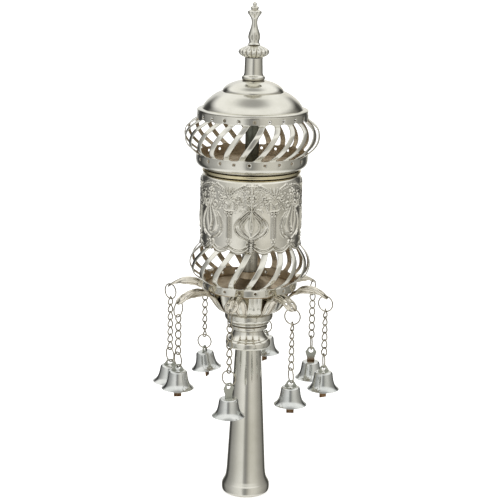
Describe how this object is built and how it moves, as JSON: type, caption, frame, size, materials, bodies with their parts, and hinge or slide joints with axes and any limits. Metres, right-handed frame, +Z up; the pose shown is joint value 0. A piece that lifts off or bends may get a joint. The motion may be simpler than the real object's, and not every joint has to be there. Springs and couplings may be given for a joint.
{
  "type": "torah finial",
  "caption": "Slender silver Torah finial: hollow handle, slatted cages round an embossed drum, stepped dome with turned spire, and bells on chains from leaf arms.",
  "frame": {"origin": "centre of the foot's underside, on the axis of the handle", "axes": "+Z up the axis to the spire; -Y is the front; the eight arms stand about 45 degrees apart round Z"},
  "size_m": [0.144, 0.1413, 0.38],
  "materials": {
    "silver": "polished silver plate, slightly warm",
    "nickel": "bright nickel plate, cooler than the body",
    "copper": "worn copper-coloured strip",
    "floor_sheet": "unpolished inner sheet, toned brown",
    "tube_steel": "dull grey-green tube"
  },
  "bodies": {
    "root": {"handle": "silver", "collar": "silver", "calyx": "silver", "lower_floor": "floor_sheet", "lower_cage": "silver", "centre_tube": "tube_steel", "drum": "silver", "neck": "silver", "upper_cage": "silver", "dome": "silver", "post": "silver", "turban": "silver", "spire": "silver", "ring_top_a": "silver", "chain_a": "silver", "ring_end_a": "silver", "bell_a": "nickel", "tongue_a": "copper", "ring_top_b": "silver", "chain_b": "silver", "ring_end_b": "silver", "bell_b": "nickel", "tongue_b": "copper", "ring_top_c": "silver", "chain_c": "silver", "ring_end_c": "silver", "bell_c": "nickel", "tongue_c": "copper", "ring_top_d": "silver", "chain_d": "silver", "ring_end_d": "silver", "bell_d": "nickel", "tongue_d": "copper", "ring_top_e": "silver", "chain_e": "silver", "ring_end_e": "silver", "bell_e": "nickel", "tongue_e": "copper", "ring_top_f": "silver", "chain_f": "silver", "ring_end_f": "silver", "bell_f": "nickel", "tongue_f": "copper", "ring_top_g": "silver", "chain_g": "silver", "ring_end_g": "silver", "bell_g": "nickel", "tongue_g": "copper", "ring_top_h": "silver", "chain_h": "silver", "ring_end_h": "silver", "bell_h": "nickel", "tongue_h": "copper"}
  },
  "joints": []
}
